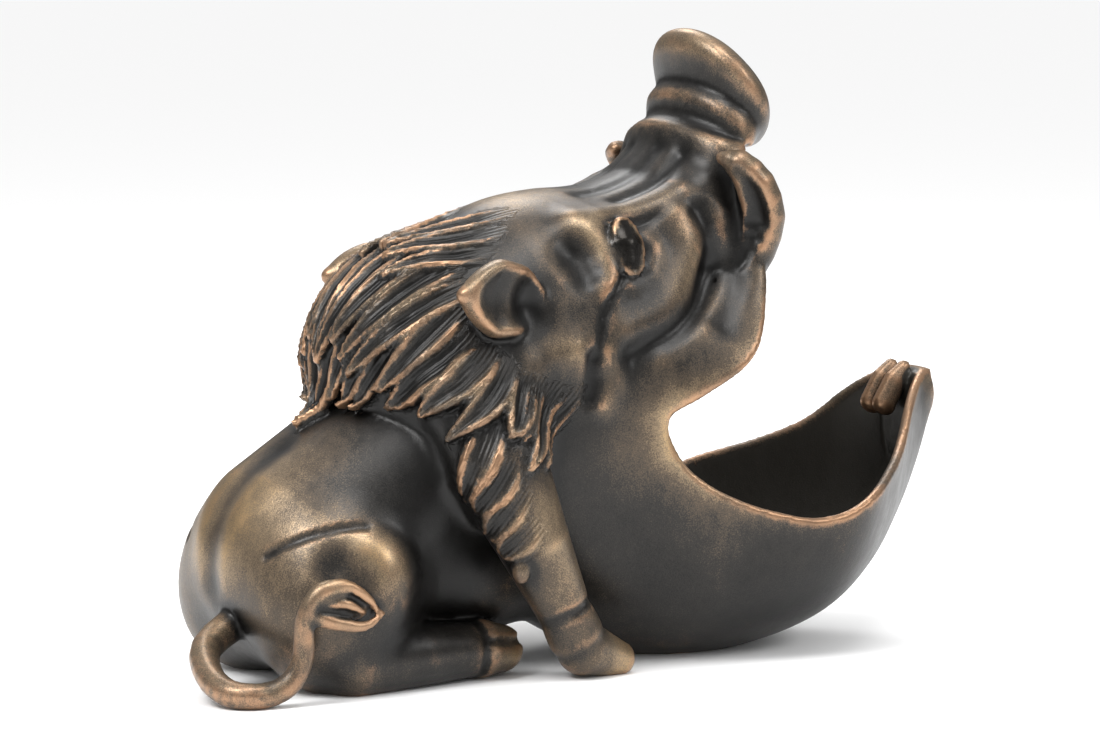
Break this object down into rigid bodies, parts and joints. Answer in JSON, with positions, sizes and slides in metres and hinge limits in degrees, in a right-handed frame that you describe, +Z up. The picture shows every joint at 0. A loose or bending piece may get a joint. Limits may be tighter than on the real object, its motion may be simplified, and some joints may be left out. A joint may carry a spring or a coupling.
{
  "type": "sitting warthog dish",
  "caption": "Sitting warthog ornament with an open mouth whose long lower jaw is a hollow scoop for holding small things, in dark antiqued bronze.",
  "frame": {"origin": "on the ground, under the middle of the sculpture's bounding box", "axes": "+X towards the snout and the scoop's tip, +Y to the animal's left, +Z up"},
  "size_m": [0.318, 0.1348, 0.2241],
  "materials": {
    "antiqued_bronze": "near-black brown satin patina, rubbed back to golden bronze on raised skin, lock edges, lips, knees and hooves"
  },
  "bodies": {
    "root": {"warthog": "antiqued_bronze"}
  },
  "joints": []
}
